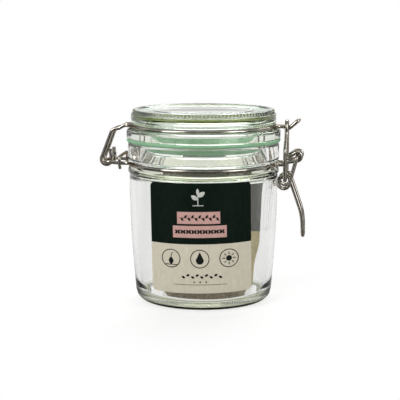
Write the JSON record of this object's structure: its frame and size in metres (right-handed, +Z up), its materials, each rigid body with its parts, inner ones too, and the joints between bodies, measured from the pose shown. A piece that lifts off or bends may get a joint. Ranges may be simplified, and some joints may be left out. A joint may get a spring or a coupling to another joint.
{
  "type": "hydroponic jar planter",
  "caption": "Clip-top glass jar with a wire latch and hinge, a rubber seal, a printed label and a growing kit inside.",
  "frame": {"origin": "under the centre of the jar, on the surface that it stands on", "axes": "+Z up along the jar's axis, +X towards the latch, -X towards the hinge, the label faces -Y"},
  "size_m": [0.1361, 0.1016, 0.1256],
  "materials": {
    "clear_glass": "clear, faint green",
    "steel_wire": "drawn, bright",
    "seal_rubber": "matt, mint green",
    "label_paper": "printed, silk",
    "packet_paper": "kraft, printed dark above",
    "coir": "pressed fibre",
    "seed": "matt, dark"
  },
  "bodies": {
    "jar": {"jar_glass": "clear_glass", "front_label": "label_paper", "coir_disc": "coir", "seed_packet": "packet_paper", "seeds": "seed", "neck_wire": "steel_wire", "hinge_tie": "steel_wire"},
    "lid": {"lid_glass": "clear_glass", "gasket": "seal_rubber", "lid_wire": "steel_wire"},
    "lever": {"lever": "steel_wire"},
    "link": {"latch_link": "steel_wire"}
  },
  "joints": [
    {"name": "lid_hinge", "type": "hinge", "parent": "jar", "child": "lid", "pos_m": [-0.064, 0, 0.091], "axis": [0, -1, 0], "range_deg": [0, 110]},
    {"name": "lever_pivot", "type": "hinge", "parent": "jar", "child": "lever", "pos_m": [0.062, 0, 0.0956], "axis": [0, -1, 0], "range_deg": [0, 115.5]},
    {"name": "link_pivot", "type": "hinge", "parent": "lever", "child": "link", "pos_m": [0.05445, 0, 0.0803], "axis": [0, -1, 0], "range_deg": [-143, 0]}
  ],
  "couplings": [
    {"joint": "lever_pivot", "follows": "lid_hinge", "ratio": 1.05},
    {"joint": "link_pivot", "follows": "lid_hinge", "ratio": -1.3}
  ]
}
